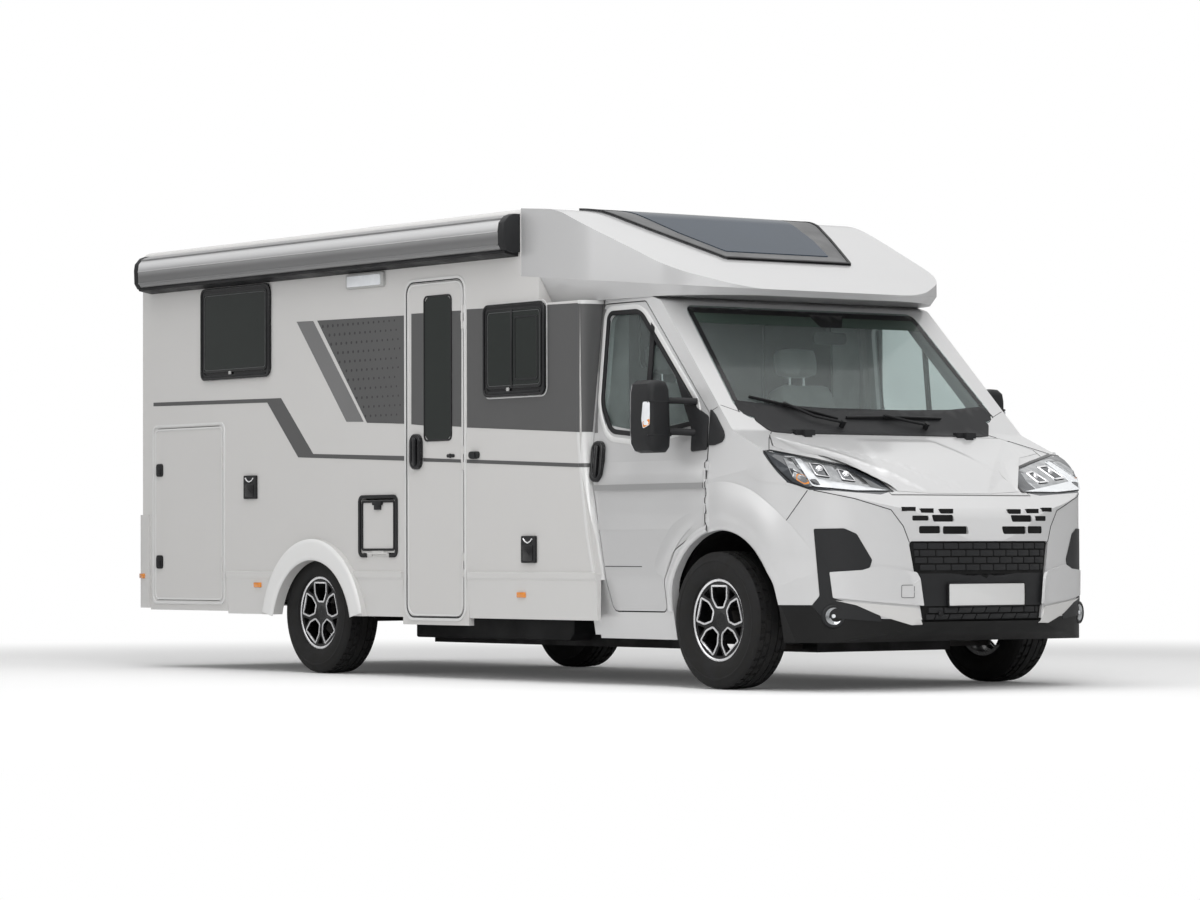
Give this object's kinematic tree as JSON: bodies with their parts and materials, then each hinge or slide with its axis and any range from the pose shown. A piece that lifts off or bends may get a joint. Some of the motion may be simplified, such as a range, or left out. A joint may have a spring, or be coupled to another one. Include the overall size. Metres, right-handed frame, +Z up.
{
  "type": "low-profile motorhome",
  "caption": "Low-profile motorhome: a van cab with a roof cap in front of a box-shaped living body, with hinged doors, lids, steering and rolling wheels.",
  "frame": {"origin": "on the ground, under the middle of the vehicle's overall length and width", "axes": "+X forward, +Y to the vehicle's left, +Z up"},
  "size_m": [6.8042, 2.5, 2.692],
  "materials": {
    "white_paint": "gloss",
    "white_shell": "gloss",
    "grey_trim": "satin",
    "black_plastic": "grained",
    "clear_glass": "polished",
    "lamp_lens": "polished",
    "alloy": "machined and painted",
    "tyre_rubber": "matt",
    "frame_steel": "primed",
    "iron": "rough",
    "upholstery": "woven"
  },
  "bodies": {
    "vehicle_body": {"right_wall": "white_shell", "left_wall": "white_shell", "rear_wall": "white_shell", "roof_panel": "white_shell", "roof_fittings": "white_shell", "cab_cap": "white_shell", "wall_windows": "clear_glass", "wall_covers": "white_shell", "side_skirts": "grey_trim", "rear_bumper": "white_shell", "floor_panel": "grey_trim", "chassis_frame": "frame_steel", "axles": "frame_steel", "engine_block": "iron", "cab_shell": "white_paint", "cab_floor": "black_plastic", "front_bumper": "white_paint", "front_valance": "black_plastic", "front_grille": "black_plastic", "lamps": "lamp_lens", "front_glass": "clear_glass", "cab_furniture": "upholstery", "steering_wheel": "black_plastic"},
    "bonnet": {"bonnet": "white_paint"},
    "left_cab_door": {"left_cab_door": "white_paint", "left_door_glass": "clear_glass", "left_mirror": "black_plastic"},
    "right_cab_door": {"right_cab_door": "white_paint", "right_door_glass": "clear_glass", "right_mirror": "black_plastic"},
    "entrance_door": {"entrance_door": "white_shell", "entrance_window": "clear_glass"},
    "right_garage_door": {"right_garage_door": "white_shell"},
    "left_garage_door": {"left_garage_door": "white_shell"},
    "service_hatch": {"service_hatch": "white_shell"},
    "left_knuckle": {"left_knuckle": "iron"},
    "right_knuckle": {"right_knuckle": "iron"},
    "front_right_wheel": {"front_right_rim": "alloy", "front_right_tyre": "tyre_rubber"},
    "front_left_wheel": {"front_left_rim": "alloy", "front_left_tyre": "tyre_rubber"},
    "rear_right_wheel": {"rear_right_rim": "alloy", "rear_right_tyre": "tyre_rubber"},
    "rear_left_wheel": {"rear_left_rim": "alloy", "rear_left_tyre": "tyre_rubber"}
  },
  "joints": [
    {"name": "bonnet_hinge", "type": "hinge", "parent": "vehicle_body", "child": "bonnet", "pos_m": [2.6155, 0, 1.338], "axis": [0, -1, 0], "range_deg": [0, 55]},
    {"name": "left_cab_door_hinge", "type": "hinge", "parent": "vehicle_body", "child": "left_cab_door", "pos_m": [2.3745, 1.0355, 1], "axis": [0, 0, -1], "range_deg": [0, 68]},
    {"name": "right_cab_door_hinge", "type": "hinge", "parent": "vehicle_body", "child": "right_cab_door", "pos_m": [2.3745, -1.0355, 1], "axis": [0, 0, 1], "range_deg": [0, 68]},
    {"name": "entrance_door_hinge", "type": "hinge", "parent": "vehicle_body", "child": "entrance_door", "pos_m": [0.2365, -1.0765, 1.3], "axis": [0, 0, 1], "range_deg": [0, 165]},
    {"name": "right_garage_hinge", "type": "hinge", "parent": "vehicle_body", "child": "right_garage_door", "pos_m": [-2.3335, -1.0765, 0.95], "axis": [0, 0, 1], "range_deg": [0, 165]},
    {"name": "left_garage_hinge", "type": "hinge", "parent": "vehicle_body", "child": "left_garage_door", "pos_m": [-2.3335, 1.0765, 0.95], "axis": [0, 0, -1], "range_deg": [0, 165]},
    {"name": "service_hatch_hinge", "type": "hinge", "parent": "vehicle_body", "child": "service_hatch", "pos_m": [-0.621, -1.0765, 0.7075], "axis": [1, 0, 0], "range_deg": [0, 100]},
    {"name": "right_steer", "type": "hinge", "parent": "vehicle_body", "child": "right_knuckle", "pos_m": [2.44, -0.84, 0.358], "axis": [0, 0, 1], "range_deg": [-33, 33]},
    {"name": "left_steer", "type": "hinge", "parent": "vehicle_body", "child": "left_knuckle", "pos_m": [2.44, 0.84, 0.358], "axis": [0, 0, 1], "range_deg": [-33, 33]},
    {"name": "front_right_roll", "type": "hinge", "parent": "right_knuckle", "child": "front_right_wheel", "pos_m": [2.44, -0.91, 0.358], "axis": [0, 1, 0], "continuous": true},
    {"name": "front_left_roll", "type": "hinge", "parent": "left_knuckle", "child": "front_left_wheel", "pos_m": [2.44, 0.91, 0.358], "axis": [0, 1, 0], "continuous": true},
    {"name": "rear_right_roll", "type": "hinge", "parent": "vehicle_body", "child": "rear_right_wheel", "pos_m": [-1.36, -0.91, 0.358], "axis": [0, 1, 0], "continuous": true},
    {"name": "rear_left_roll", "type": "hinge", "parent": "vehicle_body", "child": "rear_left_wheel", "pos_m": [-1.36, 0.91, 0.358], "axis": [0, 1, 0], "continuous": true}
  ],
  "couplings": [
    {"joint": "left_steer", "follows": "right_steer", "ratio": 1}
  ]
}
